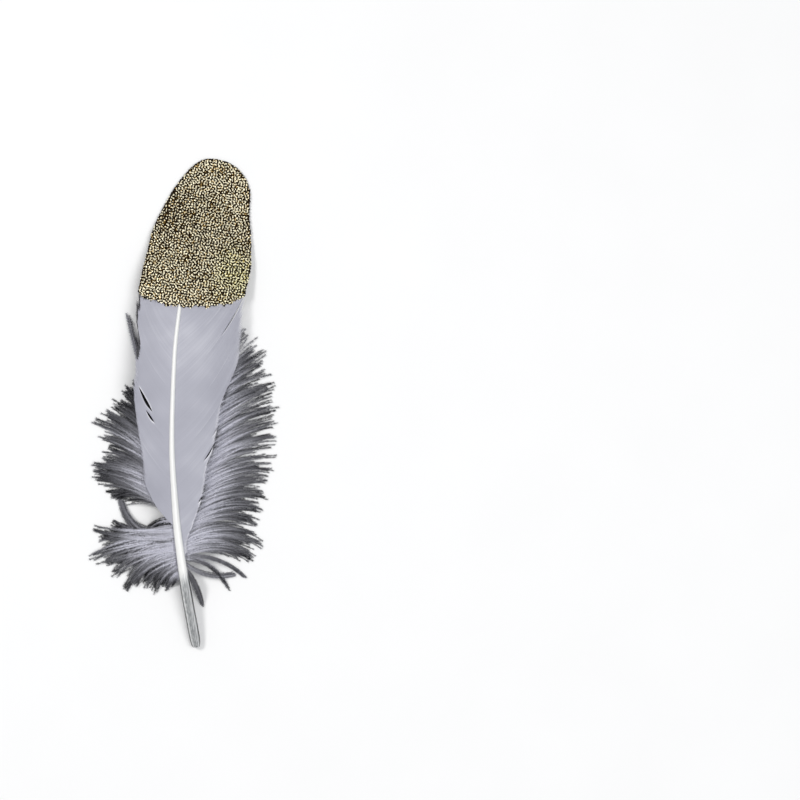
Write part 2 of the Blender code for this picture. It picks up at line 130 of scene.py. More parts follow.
# Splits: station of the barb at the shaft, the stretch of w that stands apart, and how wide
SPLITS = {
    LEFT: [(71.5, 6.6, 11.7, 2.2), (68.9, 6.0, 8.9, 1.4), (100.4, 12.2, 14.8, 0.7)],
    RIGHT: [(87.6, 15.0, 24.0, 1.1), (52.1, 10.6, 14.8, 1.0), (42.9, 9.6, 12.0, 0.8), (41.3, 7.8, 9.6, 0.9),
            (63.6, 17.3, 20.5, 0.8), (56.0, 13.6, 15.5, 0.5)],
}
# Seams, where barbs have unzipped and closed again: station of the barb at the shaft, the stretch of w
SEAMS = {
    LEFT: [(55.7, 3.0, 12.5), (86.0, 2.0, 11.0), (68.5, 2.5, 8.0), (97.0, 5.0, 13.0)],
    RIGHT: [(87.6, 10.5, 18.0), (63.5, 8.0, 17.0), (75.0, 12.0, 19.0), (99.0, 9.0, 20.0)],
}
SPLIT_REACH = 2.2 * MM

FLOOR_LEVEL = -0.1 * MM
FLOOR_SIZE = 6
CAMERA_HEIGHT = 2.4
CAMERA_OVER = (0.07306, 0.0012)  # the feather lies at the left of the picture
FRAME_WIDTH = 0.2708  # of the surface that the picture shows
SENSOR_WIDTH = 36


def smooth_through(knots):
    """The smooth function through these (place, value) knots in millimetres, with no overshoot."""
    xs, ys = (np.array(column, float) * MM for column in zip(*knots))
    steps = np.diff(ys) / np.diff(xs)
    before, after = steps[:-1], steps[1:]
    same_way = before * after > 0
    inner = np.where(same_way, 2 * before * after / np.where(same_way, before + after, 1), 0)
    slopes = np.concatenate([steps[:1], inner, steps[-1:]])

    def value(x):
        x = np.clip(x, xs[0], xs[-1])
        i = np.clip(np.searchsorted(xs, x, side="right") - 1, 0, len(xs) - 2)
        h = xs[i + 1] - xs[i]
        u = (x - xs[i]) / h
        return (
            (1 + 2 * u) * (1 - u) ** 2 * ys[i]
            + u * (1 - u) ** 2 * h * slopes[i]
            + u * u * (3 - 2 * u) * ys[i + 1]
            + u * u * (u - 1) * h * slopes[i + 1]
        )

    return value


shaft_bend = smooth_through(SHAFT_BEND)
shaft_height = smooth_through(SHAFT_HEIGHT)
shaft_radius = smooth_through(SHAFT_RADIUS)
web_edge = {side: smooth_through(knots) for side, knots in WEB_EDGE.items()}


def half_width(y, side):
    """A web's width at these stations."""
    start, power = TIP_ROUND[side]
    past = np.maximum(0.0, (y - start) / (LENGTH - start))
    return web_edge[side](y) * np.sqrt(np.maximum(0.0, 1 - past**power))


def dip_line(w, side):
    """The station of the glitter's lower edge, this far out."""
    rise, power = DIP_LINE_RISE[side]
    return DIP_LINE + rise * (np.maximum(w, 0) / WEB_FULL[side]) ** power


def web_height(y, w, side):
    """The height of a web's middle surface, which droops from the shaft and lies flat where it meets the ground."""
    free = shaft_height(y) - WEB_DROOP[side] * (w / WEB_FULL[side]) ** 2 - REST_HEIGHT
    return REST_HEIGHT + 0.5 * (free + np.sqrt(free * free + WEB_EASE * WEB_EASE))


def web_points(y, w, side, lift=0.0):
    """Points on a web's middle surface in the row frame, as an array with x, y, z last."""
    y, w = np.broadcast_arrays(y, w)
    return np.stack([shaft_bend(y) + side * w, y, web_height(y, w, side) + lift], axis=-1) - CENTRE


def barb_station(root, w, side):
    """The station that a vane's barb from this root has reached, this far out."""
    return root + BARB_LEAN[side] * w + BARB_SWEEP[side] * (w / MM) ** 3 * MM


def barb_end(roots, side, past_line):
    """How far out each barb meets the web's edge, or runs this far past the dip line."""
    halvings = 40
    low, high = np.zeros_like(roots), np.full_like(roots, WEB_FULL[side] * 1.2)
    for _ in range(halvings):
        w = (low + high) / 2
        y = barb_station(roots, w, side)
        inside = (y < dip_line(w, side) + past_line) & (w < half_width(y, side))
        low, high = np.where(inside, w, low), np.where(inside, high, w)
    return low


def smoothstep(x, start, stop):
    t = np.clip((x - start) / (stop - start), 0, 1)
    return t * t * (3 - 2 * t)


def rough_line(chance, places, spacing):
    """Smooth random values, about -1 to 1, along these places, with a new one each spacing."""
    count = int(np.ptp(places) / spacing) + 4
    knots = np.min(places) - spacing + np.arange(count) * spacing
    return smooth_between(places, knots, chance.uniform(-1, 1, count))


def smooth_between(x, xs, ys):
    i = np.clip(np.searchsorted(xs, x, side="right") - 1, 0, len(xs) - 2)
    t = np.clip((x - xs[i]) / (xs[i + 1] - xs[i]), 0, 1)
    t = t * t * (3 - 2 * t)
    return ys[i] * (1 - t) + ys[i + 1] * t


def strips(count, rows, columns, closed=False):
    """The quads of so many separate grids of points, each of rows by columns."""
    r = np.arange(rows - 1)[:, None] * columns
    c = np.arange(columns if closed else columns - 1)
    a, b = r + c, r + (c + 1) % columns
    quads = np.stack([a, b, b + columns, a + columns], axis=-1).reshape(-1, 4)
    return (quads[None] + (np.arange(count) * rows * columns)[:, None, None]).reshape(-1, 4)


def make_piece(name, points, faces, material, replaces=(), tones=None, smooth=True):
    """A mesh piece of the feather. faces is a list of index arrays, tones one number for each point."""
    mesh = bpy.data.meshes.new(name)
    points = np.asarray(points, np.float32).reshape(-1, 3)
    corners = np.concatenate([f.ravel() for f in faces]).astype(np.int32)
    sizes = np.concatenate([np.full(len(f), f.shape[1]) for f in faces])
    mesh.vertices.add(len(points))
    mesh.vertices.foreach_set("co", points.ravel())
    mesh.loops.add(len(corners))
    mesh.loops.foreach_set("vertex_index", corners)
    mesh.polygons.add(len(sizes))
    first_corners = np.concatenate([[0], np.cumsum(sizes)[:-1]])
    mesh.polygons.foreach_set("loop_start", first_corners.astype(np.int32))
    mesh.update(calc_edges=True)
    if tones is not None:
        attribute = mesh.attributes.new("tone", "FLOAT", "POINT")
        attribute.data.foreach_set("value", np.asarray(tones, np.float32).ravel())
    mesh.materials.append(material)
    mesh.polygons.foreach_set("use_smooth", np.full(len(sizes), smooth))
    mesh.validate()
    obj = bpy.data.objects.new(name, mesh)
    bpy.context.scene.collection.objects.link(obj)
    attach(obj, "root")
    if replaces:
        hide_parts(*replaces)
    return obj


# Materials ---------------------------------------------------------------------------------------------


class Shader:
    """A material's nodes, with short ways to add one and to join it."""

    def __init__(self, name, **settings):
        self.material = bpy.data.materials.new(name)
        self.material.use_nodes = True
        self.tree = self.material.node_tree
        self.main = self.tree.nodes["Principled BSDF"]
        for socket, value in settings.items():
            self.main.inputs[socket.replace("_", " ")].default_value = value

    def add(self, kind, operation=None, **inputs):
        """A node with these inputs, by socket name or, as i0 and i1, by number."""
        node = self.tree.nodes.new(kind)
        if operation:
            node.operation = operation
        for socket, value in inputs.items():
            by_number = socket[0] == "i" and socket[1:].isdigit()
            self.put(node.inputs[int(socket[1:]) if by_number else socket.replace("_", " ")], value)
        return node

    def put(self, socket, value):
        if isinstance(value, bpy.types.NodeSocket):
            self.tree.links.new(value, socket)
        else:
            socket.default_value = value

    def place(self, scale=(1, 1, 1)):
        """The point's own coordinates in metres, times a scale."""
        coordinates = self.add("ShaderNodeTexCoord").outputs["Object"]
        return self.add("ShaderNodeMapping", Vector=coordinates, Scale=scale).outputs["Vector"]

    def noise(self, scale, stretch=(1, 1, 1), detail=3.0, roughness=0.5):
        node = self.add("ShaderNodeTexNoise", Vector=self.place(stretch), Scale=scale, Detail=detail,
                        Roughness=roughness)
        return node.outputs["Fac"]

    def tone(self):
        """The number that make_piece keeps with each point."""
        node = self.add("ShaderNodeAttribute")
        node.attribute_name = "tone"
        return node.outputs["Fac"]

    def mix(self, amount, low, high):
        """Colours or numbers blended by an amount."""
        node = self.tree.nodes.new("ShaderNodeMix")
        node.data_type = "RGBA"
        self.put(node.inputs[0], amount)
        self.put(node.inputs[6], low)
        self.put(node.inputs[7], high)
        return node.outputs[2]

    def ramp(self, amount, stops):
        node = self.add("ShaderNodeValToRGB", Fac=amount)
        ramp = node.color_ramp
        while len(ramp.elements) < len(stops):
            ramp.elements.new(0.5)
        for element, (place, colour) in zip(ramp.elements, stops):
            element.position = place
            element.color = colour
        return node.outputs["Color"]

    def maths(self, operation, first, second=0.0):
        return self.add("ShaderNodeMath", operation, i0=first, i1=second).outputs[0]

    def varied(self, value, noise, strength):
        """The value, raised and lowered by a noise that averages 0.5."""
        return self.maths("ADD", value, self.maths("MULTIPLY", self.maths("SUBTRACT", noise, 0.5), strength))

    def bump(self, height, strength, distance):
        node = self.add("ShaderNodeBump", Height=height, Strength=strength, Distance=distance)
        self.put(self.main.inputs["Normal"], node.outputs["Normal"])


def vane_material():
    s = Shader("vane_barbs", Roughness=0.62, Sheen_Weight=0.12, Sheen_Roughness=0.5)
    cloudy = s.noise(60, detail=2)
    colour = s.ramp(s.varied(s.tone(), cloudy, 0.55), [
        (0.0, (0.04, 0.04, 0.045, 1)), (0.1, (0.31, 0.31, 0.37, 1)), (0.5, (0.442, 0.445, 0.51, 1)),
        (1.0, (0.82, 0.82, 0.87, 1))])
    s.put(s.main.inputs["Base Color"], colour)
    s.bump(s.noise(6000, detail=2), 0.15, 0.00005)
    return s.material


def down_material():
    s = Shader("down_barbs", Roughness=0.75, Sheen_Weight=0.03, Specular_IOR_Level=0.12)
    colour = s.ramp(s.varied(s.tone(), s.noise(250), 0.3), [
        (0.0, (0.004, 0.004, 0.005, 1)), (0.06, (0.075, 0.075, 0.083, 1)), (0.45, (0.26, 0.26, 0.287, 1)),
        (0.95, (0.72, 0.72, 0.80, 1))])
    s.put(s.main.inputs["Base Color"], colour)
    return s.material


def horn_material():
    s = Shader("shaft_horn", Roughness=0.34, Coat_Weight=0.2, Coat_Roughness=0.2)
    lines = s.noise(1, stretch=(3200, 160, 3200), detail=4, roughness=0.65)
    white = s.maths("MULTIPLY", s.tone(), s.tone())
    depth = s.maths("MULTIPLY", s.maths("SUBTRACT", 1.15, white), s.maths("SUBTRACT", lines, 0.5))
    shade = s.maths("ADD", s.tone(), s.maths("MULTIPLY", depth, 1.1))
    colour = s.ramp(shade, [
        (0.05, (0.03, 0.03, 0.034, 1)), (0.42, (0.31, 0.32, 0.325, 1)), (0.72, (0.66, 0.67, 0.67, 1)),
        (0.95, (0.93, 0.93, 0.91, 1))])
    s.put(s.main.inputs["Base Color"], colour)
    s.bump(lines, 0.2, 0.0001)
    return s.material


def glue_material():
    s = Shader("glitter_glue", Roughness=0.5, Metallic=0.6, Specular_IOR_Level=0.2)
    colour = s.ramp(s.noise(1500), [(0.3, (0.015, 0.009, 0.003, 1)), (0.7, (0.10, 0.07, 0.025, 1))])
    s.put(s.main.inputs["Base Color"], colour)
    s.bump(s.noise(2500), 0.4, 0.0002)
    return s.material


def flake_material():
    s = Shader("gold_glitter", Roughness=0.34, Metallic=0.24, Specular_IOR_Level=0.05)
    gold = s.ramp(s.tone(), [
        (0.0, (0.010, 0.004, 0.0005, 1)), (0.36, (0.030, 0.013, 0.001, 1)), (0.56, (0.36, 0.205, 0.035, 1)),
        (0.74, (1.0, 0.77, 0.38, 1)), (1.0, (1.0, 0.93, 0.68, 1))])
    yellow = s.ramp(s.tone(), [
        (0.0, (0.006, 0.004, 0.001, 1)), (0.36, (0.045, 0.032, 0.003, 1)), (0.56, (0.42, 0.33, 0.05, 1)),
        (0.74, (0.96, 0.86, 0.33, 1)), (1.0, (1.0, 0.96, 0.6, 1))])
    yellowest = (0.018, 0.043, 0.003)  # low on the right, where the flakes are greener
    away = s.add("ShaderNodeVectorMath", "DISTANCE", i0=s.place(), i1=yellowest).outputs["Value"]
    uneven = s.maths("ADD", s.maths("MULTIPLY", away, 60), s.maths("MULTIPLY", s.noise(160), 0.5))
    patch = s.ramp(uneven, [(0.4, (0.9, 0.9, 0.9, 1)), (1.0, (0.0, 0.0, 0.0, 1))])
    s.put(s.main.inputs["Base Color"], s.mix(patch, gold, yellow))
    return s.material


# Shaft -------------------------------------------------------------------------------------------------

SHAFT_SIDES = 32
# From the bottom of the pit in the calamus's end outwards, then round its lip: station and radius, in millimetres
PIT = [(2.4, 0.05), (2.2, 0.3), (1.0, 0.42), (0.12, 0.5), (0.0, 0.62), (0.0, 0.85)]
LIP_STATIONS = [0.12, 0.35, 0.7]
SHAFT_START, SHAFT_RUN, SHAFT_RINGS = 1.2, 117.5, 150


def make_shaft():
    """Calamus and rachis, with the groove below the rachis and the pit in the calamus's end."""
    outer = np.concatenate([LIP_STATIONS, SHAFT_START + SHAFT_RUN * np.linspace(0, 1, SHAFT_RINGS)])
    stations = np.concatenate([[y for y, _ in PIT], outer]) * MM
    radii = np.concatenate([[r * MM for _, r in PIT], shaft_radius(outer * MM)])
    angle = np.linspace(0, 2 * np.pi, SHAFT_SIDES, endpoint=False)
    y, r = stations[:, None], radii[:, None]
    rachis = smoothstep(y, 30 * MM, 55 * MM)
    groove = np.exp(-(((angle - 1.5 * np.pi) / 0.35) ** 2))
    boxy = 1 + 0.06 * rachis * np.cos(4 * angle)
    r = r * boxy * (1 - 0.35 * rachis * groove)
    chance = np.random.default_rng(4)
    r = r * (1 + 0.012 * rough_line(chance, stations, 7 * MM)[:, None])
    points = round_shaft(stations, r * np.cos(angle), r * np.sin(angle))
    last = (len(stations) - 1) * SHAFT_SIDES
    caps = [np.arange(SHAFT_SIDES)[None, ::-1], last + np.arange(SHAFT_SIDES)[None]]
    make_piece("horn_shaft", points, [strips(1, len(stations), SHAFT_SIDES, closed=True), *caps], horn_material(),
               ["shaft"], shaft_tones(angle, y))


def round_shaft(stations, sideways, upwards):
    """Points this far to the right of the shaft's middle line and above it, square to it."""
    step = 0.2 * MM
    tangent = np.stack([shaft_bend(stations + step) - shaft_bend(stations - step), np.full(len(stations), 2 * step),
                        shaft_height(stations + step) - shaft_height(stations - step)], axis=-1)
    tangent /= np.linalg.norm(tangent, axis=1, keepdims=True)
    right = np.cross(tangent, [0, 0, 1.0])
    right /= np.linalg.norm(right, axis=1, keepdims=True)
    up = np.cross(right, tangent)
    middle = np.stack([shaft_bend(stations), stations, shaft_height(stations)], axis=-1)
    return middle[:, None] + right[:, None] * sideways[..., None] + up[:, None] * upwards[..., None] - CENTRE


def shaft_tones(angle, y):
    """Grey translucent calamus with a painted reflection line on either side of its top and painted shade on its
    flanks, then the white rachis with painted shade on its flanks.
    """
    from_top = np.degrees(np.abs((angle - 0.5 * np.pi + np.pi) % (2 * np.pi) - np.pi))
    # painted reflection lines beside the top, and a band of painted shade on the flanks that ends towards the belly
    painted_reflection_line = np.exp(-(((from_top - 40) / 7) ** 2))
    painted_shade_flank, pale_belly = smoothstep(from_top, 46, 60), smoothstep(from_top, 78, 125)
    calamus = 0.42 + 0.46 * painted_reflection_line - 0.40 * painted_shade_flank + 0.34 * pale_belly
    # painted shade on the rachis's flanks
    ivory = 0.95 - 0.20 * smoothstep(from_top, 45, 85)
    white = smoothstep(y, 20.5 * MM, 27 * MM)
    return calamus * (1 - white) + ivory * white


# Vanes -------------------------------------------------------------------------------------------------

UNDER_COAT = 1.2 * MM  # how far the barbs run on under the glitter
WIDE_GAP = 1.5  # a split that opens wider has a painted highlight on both edges, a narrower one painted shade on its upper edge above a painted highlight
MIDDLE_TONE = 0.5
# Across a barb: place in its breadth, height there, and how much darker it is there, as painted shade towards its
# edges where it meets the next barb
BARB_SECTION = [(-0.5, -0.025 * MM, 0.055), (0.0, BARB_RIDGE, 0.023), (0.5, 0.025 * MM, 0.043)]
BARB_OVERLAP = 1.25  # a barb's breadth against the pitch


def make_vane(name, side, node, material):
    """A vane's barbs side by side. Each is a shallow ridge that overlaps the next and ends in a fine point."""
    chance = np.random.default_rng(20 + side)
    roots = np.arange(WEB_FIRST_BARB[side], DIP_LINE + 1.0 * MM, BARB_PITCH)
    ends = barb_end(roots, side, UNDER_COAT)
    ends = ends + chance.uniform(-0.35, 0.2, len(roots)) * MM + 0.25 * MM * rough_line(chance, roots, 3 * MM)
    starts = shaft_radius(roots) * 0.7
    ends = np.maximum(ends, starts + 0.4 * MM)
    u = np.linspace(0, 1, BARB_POINTS)
    length = (ends - starts)[:, None]
    w = starts[:, None] + length * u
    from_tip = length * (1 - u)
    breadth = 0.08 + 0.92 * np.clip(from_tip / BARB_TIP[side], 0, 1) ** 0.7
    root = roots[:, None] + np.zeros_like(w)
    shift, lift = np.zeros_like(w), np.zeros_like(w)
    shade = MIDDLE_TONE + 0.018 * chance.normal(size=len(roots)) + 0.02 * rough_line(chance, roots, 1.6 * MM)
    shade = shade[:, None] + np.zeros_like(w)
    open_splits(side, root, w, shift, lift, shade)
    part_seams(side, root, w, lift, shade)
    share = w / WEB_FULL[side]
    lift += 0.07 * MM * rough_line(chance, roots, 2.6 * MM)[:, None] * share
    lift += 0.025 * MM * rough_line(chance, roots, 0.9 * MM)[:, None] * share
    shift += 0.5 * MM * smoothstep(-from_tip, -2.2 * MM, 0) ** 2
    # painted highlight towards each barb's point
    shade += EDGE_HIGHLIGHT[side] * smoothstep(-from_tip, -1.1 * MM, -0.5 * MM)
    if side == LEFT:  # painted shadow along its edge, darkest above the stray lock
        bare = smoothstep(barb_station(roots, ends, side), 97 * MM, 100 * MM)[:, None]
        rim = smoothstep(-from_tip, -(0.6 + 0.3 * bare) * MM, -(0.25 + 0.25 * bare) * MM)
        shade -= (0.3 + 1.8 * bare) * rim
    grid = []
    for place, height, _ in BARB_SECTION:
        y = barb_station(root + place * BARB_OVERLAP * BARB_PITCH * breadth, w, side) + shift
        grid.append(web_points(y, w, side, lift + height * breadth))
    points = np.stack(grid, axis=2)
    tones = shade[:, :, None] - np.array([darker for _, _, darker in BARB_SECTION])
    make_piece(name, points, [strips(len(roots), BARB_POINTS, 3)], material, [node], tones)


def open_splits(side, root, w, shift, lift, shade):
    """Moves barbs apart at each split, lifts one edge over the other and paints highlights and shade on its edges.
    Changes the last three.
    """
    for at, start, stop, gap in SPLITS[side]:
        apart = root - at * MM
        t = np.clip((w / MM - start) / (stop - start), 0, 1)
        opening = np.sin(np.pi * t) ** 0.8 * gap * MM / 2
        fade = np.exp(-np.abs(apart) / SPLIT_REACH)
        shift += np.sign(apart) * opening * fade
        lift += np.where(apart > 0, 0.12, -0.08) * opening * fade
        near = np.exp(-np.abs(apart) / (0.4 * MM)) * np.minimum(1, opening / (0.2 * MM))
        # painted highlight on the lower edge; on the upper edge a painted highlight when the split is wide, painted
        # shade when it is narrow
        upper_edge = 0.55 if gap > WIDE_GAP else -0.35
        shade += np.where(apart > 0, upper_edge, 0.75) * near


def part_seams(side, root, w, lift, shade):
    """Lifts one side of each seam a little over the other, with a painted highlight on that side and painted shade
    on the other. Changes the last two.
    """
    for at, start, stop in SEAMS[side]:
        apart = (root - at * MM) / MM
        t = np.sin(np.pi * np.clip((w / MM - start) / (stop - start), 0, 1)) ** 0.5
        lift += 0.06 * MM * np.sign(apart) * np.exp(-np.abs(apart) / 1.5) * t
        shade += 0.10 * np.sign(apart) * np.exp(-np.abs(apart) / 0.5) * t


# Down --------------------------------------------------------------------------------------------------

BARBS_A_LOCK = 13
BARBULES_A_MM = {LEFT: 26, RIGHT: 27}
BARBULE_LENGTH = {LEFT: 1.15, RIGHT: 1.05}  # in millimetres, about the greatest
ROOT_BELOW_SHAFT = 1.2 * MM
TIP_HEIGHT = 0.4 * MM
LEAST_HEIGHT = 0.15 * MM
CLEAR_OF_WEB = 0.45 * MM
WEB_MARGIN = 1 * MM
OPEN_AIR = 1.0  # a height that nothing reaches
LINE_POINTS = 14
DARK_SHARE = 0.85  # the most of a lock's length that its dark end takes up
STRAY_TONE = 1.35
ALL_DARK = 40.0  # a dark length that takes in the whole barb
OUTER_LOCK = 140  # from this heading on, or with more turn than CURLED_LOCK, a stray lock is a broad one
CURLED_LOCK = 100
# Rows of barbs that fill in at the left: along the vane's edge, below its long split (dark all along, as painted
# shade in the split), and the front fan's folded hem (painted highlight and painted shade)
ALONG_EDGE = (76, 23, 40, -34)
BELOW_SPLIT = (66, 28, 28, 22)
HEM = (42.2, 106.5, 9.5, 60)

Barb = namedtuple("Barb", "row spread width tip dark_length tone wild loft")


def blend(first, second, share):
    return [a + (b - a) * share for a, b in zip(first, second)]


def station_and_offset(place, side):
    """The station of these places, and how far they lie out from the shaft's middle line on this side."""
    x, y = place[..., 0] + CENTRE[0], place[..., 1] + CENTRE[1]
    return y, (x - shaft_bend(y)) * side


def first_barb_station(w, side):
    """Where the web begins, this far out."""
    return barb_station(WEB_FIRST_BARB[side], np.maximum(w, 0.0), side)


def below_web(place, side, inset):
    """Whether these places lie under the web, further in than this from its edge."""
    y, w = station_and_offset(place, side)
    return (w < half_width(y, side) - inset) & (y > first_barb_station(w, side) + inset)


def room_under_web(place, side):
    """The greatest height that leaves a barb clear of the web over these places."""
    y, w = station_and_offset(place, side)
    covered = (w < half_width(y, side) + WEB_MARGIN) & (y > first_barb_station(w, side) - WEB_MARGIN)
    return np.where(covered, web_height(y, w, side) - CLEAR_OF_WEB, OPEN_AIR)


def under_split(place, side):
    """About 1 below a split in the web, where little light comes, and 0 elsewhere."""
    y, w = station_and_offset(place, side)
    dark = np.zeros(w.shape)
    for at, start, stop, gap in SPLITS[side]:
        inside = (w > (start - 1.5) * MM) & (w < (stop + 0.5) * MM)
        apart = y - barb_station(at * MM, np.clip(w, 0, 40 * MM), side)
        dark = np.maximum(dark, inside * np.exp(-((apart / ((1.2 + gap) * MM)) ** 2)))
    return dark * below_web(place, side, 0.3 * MM)


def beside_web(place, side):
    """1 at the web's edge, falling to 0 a few millimetres to either side of it."""
    y, w = station_and_offset(place, side)
    outside = w - half_width(y, side)
    return np.exp(-np.abs(outside) / (2.5 * MM)) * smoothstep(y, 42 * MM, 60 * MM)


def barb_line(side, row, loft, u):
    """A downy barb's middle line at these shares of its length, and the level direction across it."""
    root_y, heading, chord, turn = row
    root_y = root_y * MM
    top = shaft_height(root_y) - ROOT_BELOW_SHAFT
    angle = np.radians(heading + turn * (u - 1) / 2)
    along = np.stack([side * np.sin(angle), np.cos(angle), np.zeros_like(u)], axis=-1)
    root = np.array([shaft_bend(root_y) + side * shaft_radius(root_y) * 0.8, root_y, 0]) - CENTRE
    place = root + along * (chord * MM * u)[:, None]
    if loft == CLOSE_UNDER_WEB:
        place[:, 2] = top
    else:
        fall = u * u * (3 - 2 * u)
        place[:, 2] = top + (TIP_HEIGHT - top) * fall + loft * np.sin(np.pi * u)
    ahead = np.gradient(place, axis=0)
    across = np.cross(ahead, [0, 0, 1.0])
    return place, across / np.linalg.norm(across, axis=1, keepdims=True)


def barb_rows(chance, side):
    """The barbs of one side's down.

    Each has its row, where it lies across its lock (-1 to 1), the lock's half width, the share of that width at
    its tip, the length of its dark end (partly painted shade), the tone at its root, how much it strays, and how
    high it arches.
    """
    made = []

    def add(row, width, reach, spread, tip, dark_length, tone=0.97, wild=1.0, loft=None, chance=chance):
        root_y, heading, chord, turn = row
        row = (root_y + spread * 1.0 + chance.normal() * 0.5, heading + spread * 1.5 + chance.normal() * 1.8 * wild,
               chord * reach, turn * reach + chance.normal() * 8 * wild)
        loft = chance.uniform(-0.5, 1.7) * MM if loft is None else loft
        made.append(Barb(row, spread, width, tip, dark_length, tone, wild, loft))

    def add_below_split(count, chance):
        """Dark barbs close under the left web: painted shade where they show through its long split."""
        for _ in range(count):
            add(BELOW_SPLIT, 1.2 * LOCK_WIDTH, chance.uniform(0.82, 0.96), chance.uniform(-1, 1), 0.9, ALL_DARK, 0.2,
                wild=0.2, loft=CLOSE_UNDER_WEB, chance=chance)

    add_strays(chance, side, add)
    if side == LEFT:
        for _ in range(5):
            add(ALONG_EDGE, 0.25 * LOCK_WIDTH, chance.uniform(0.75, 1.0), chance.uniform(-1, 1), 0.3, ALL_DARK,
                wild=0.1)
        for k in range(16):  # a painted highlight and painted shade in turn along the fold
            second = k % 2
            add((HEM[0] + 0.6 * second, *HEM[1:]), 0.08 * LOCK_WIDTH, chance.uniform(0.85, 1.0),
                chance.uniform(-1, 1), 0.6, 1.2, -0.3 if second else 1.4, wild=0.05)
        add_below_split(26, chance)
    add_locks(chance, side, add)
    add_between_locks(chance, side, add)
    if side == LEFT:
        add_below_split(18, np.random.default_rng(60))
    return made


def add_strays(chance, side, add):
    """The narrow locks that stray."""
    for stray_side, row in STRAY_LOCKS:
        if stray_side == side:
            broad = abs(row[3]) > CURLED_LOCK or row[1] > OUTER_LOCK
            for _ in range(20 if broad else 8):
                reach, spread = chance.uniform(0.9, 1.0), chance.uniform(-0.7, 0.7)
                add(row, (0.7 if broad else 0.45) * LOCK_WIDTH, reach, spread, 0.35, ALL_DARK,
                    STRAY_TONE - 0.7 * abs(spread), wild=0.15)


def lock_look(side, i):
    """The fan that this lock is in, the part of its width that it keeps to or None, and how dark its roots are."""
    fan = FANS[side][i >= LAST_OF_FAN[side]]
    if side == LEFT:
        return fan, KEPT_SPREAD.get(i), SHADED_ROOTS.get(i, 0.0)
    return fan, None, 0.0


def add_locks(chance, side, add):
    """The barbs of the locks that the part has as solids."""
    for i, row in enumerate(DOWN_LOCKS[side]):
        width = LOCK_WIDTH * min(1.0, row[2] / 20) * chance.uniform(0.85, 1.0)
        fan, kept, shaded = lock_look(side, i)
        veer = 0.0 if kept else chance.normal() * fan["veer"]
        tone = fan["tone"] + chance.uniform(-0.05, 0.05) - shaded
        dark = min(fan["dark"], DARK_SHARE * row[2])
        for k in range(BARBS_A_LOCK):
            reach = chance.uniform(0.91, 1.0) if k % 3 else chance.uniform(0.6, 0.95)
            veered = (row[0], row[1] + veer * 0.3, row[2], row[3] + veer)
            add(veered, width, reach, chance.uniform(*(kept or (-1, 1))), fan["tip"], dark, tone,
                0.5 if kept else 1.0)


def add_between_locks(chance, side, add):
    """The barbs that fill the fans between one lock and the next."""
    rows = DOWN_LOCKS[side]
    for i in range(len(rows) - 1):
        if i + 1 == LAST_OF_FAN[side]:
            continue
        fan, kept, shaded = lock_look(side, i)
        gap = abs(rows[i + 1][1] - rows[i][1]) * rows[i][2] / 100
        count = int(fan["fill"] * min(2.5, max(1.0, gap)) * (0.5 if kept else 1))
        for k in range(count):
            row = blend(rows[i], rows[i + 1], chance.uniform(0.1, 0.9))
            loose = k % 4 == 0 and not kept
            add(row, LOCK_WIDTH * 0.4, chance.uniform(*fan["reach"]), chance.uniform(*(kept or (-1, 1))), 0.3,
                min(fan["dark"], DARK_SHARE * row[2]), fan["tone"] + (0.12 if loose else 0.0) - shaded,
                2.2 if loose else 0.5 if kept else 1.0)


def lay_barbs(chance, side, u):
    """The middle line of each barb of one side's down, and its tone along it."""
    profile = np.sin(np.pi * (0.16 + 0.84 * u)) ** 0.5
    lines, tones = [], []
    for barb in barb_rows(chance, side):
        row = barb.row
        place, across = barb_line(side, row, barb.loft, u)
        past = abs(place[-1, 0]) - DOWN_REACH
        if past > 0:
            row = (row[0], row[1], row[2] * (1 - past / abs(place[-1, 0] - place[0, 0])), row[3])
            place, across = barb_line(side, row, barb.loft, u)
        breadth = np.maximum(barb.tip, profile)
        place = place + across * (barb.spread * LOCK_FILL * barb.width * breadth)[:, None]
        place[:, 2] += chance.uniform(-1, 1) * LOCK_FILL * LOCK_THICK * barb.width * breadth
        bend = chance.uniform(0.08, 0.28) * MM * np.sin(u * chance.uniform(4, 10) + chance.uniform(0, 6)) * u
        bend = bend * min(barb.wild, 1.0)
        place = place + across * bend[:, None]
        place[:, 2] = np.minimum(place[:, 2], room_under_web(place, side))
        place[:, 2] = np.maximum(place[:, 2], LEAST_HEIGHT)
        lines.append(place)
        from_tip = row[2] * (1 - u)
        # the dark end of each barb, partly the down's own grey and partly painted shade
        shade = 1 - smoothstep(from_tip, 1.0, barb.dark_length)
        tones.append(barb.tone + chance.normal() * 0.08 - (0.80 + min(barb.tone - 0.9, 0.0)) * shade)
    lines = np.array(lines)
    # painted shade under the splits of the web, and painted light beside its edge
    return lines, np.array(tones) - 1.3 * under_split(lines, side) + PAINTED_LIGHT_BESIDE_WEB[side] * beside_web(lines, side)


def directions(lines):
    """Unit vectors ahead along the lines, level across them, and over them."""
    ahead = np.gradient(lines, axis=1)
    ahead /= np.linalg.norm(ahead, axis=2, keepdims=True)
    across = np.cross(ahead, [0, 0, 1.0])
    across /= np.linalg.norm(across, axis=2, keepdims=True)
    return ahead, across, np.cross(across, ahead)


def barb_stalks(lines, across, over, u):
    """A ring of three points round each point of the lines, finer towards the tips."""
    radius = (0.12 - 0.095 * u) * MM
    rim = []
    for corner in range(3):
        angle = 2 * np.pi * corner / 3 + np.pi / 2
        rim.append(lines + radius[None, :, None] * (np.cos(angle) * across + np.sin(angle) * over))
    return np.stack(rim, axis=2)


